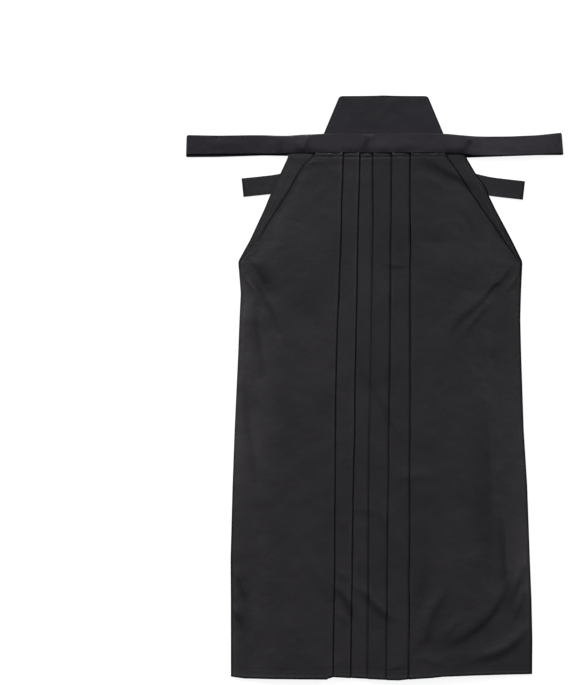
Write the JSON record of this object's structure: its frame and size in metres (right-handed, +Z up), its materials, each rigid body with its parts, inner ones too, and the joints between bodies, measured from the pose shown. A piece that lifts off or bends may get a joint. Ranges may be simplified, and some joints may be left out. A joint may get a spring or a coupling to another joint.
{
  "type": "pleated hakama trousers laid flat",
  "caption": "Wide pleated hakama trousers laid flat and face up, with a stiff back board, a front band and flat waist ties.",
  "frame": {"origin": "centre of the garment's box on the surface it lies on", "axes": "+Z up out of the garment's front, +Y towards the waist and the back board, +X towards the wearer's left"},
  "size_m": [0.6593, 1.02, 0.015],
  "materials": {
    "panel_cloth": "plain weave, very dark charcoal black, pressed, soft low sheen",
    "band_cloth": "the same plain weave on the band and ties, a little more purple",
    "board_cloth": "the same plain weave drawn tight over a stiff board"
  },
  "bodies": {
    "root": {"right_front": "panel_cloth", "left_front": "panel_cloth", "right_back": "panel_cloth", "left_back": "panel_cloth", "front_band": "band_cloth", "back_board": "board_cloth", "right_back_tie": "band_cloth", "left_back_tie": "band_cloth"}
  },
  "joints": []
}
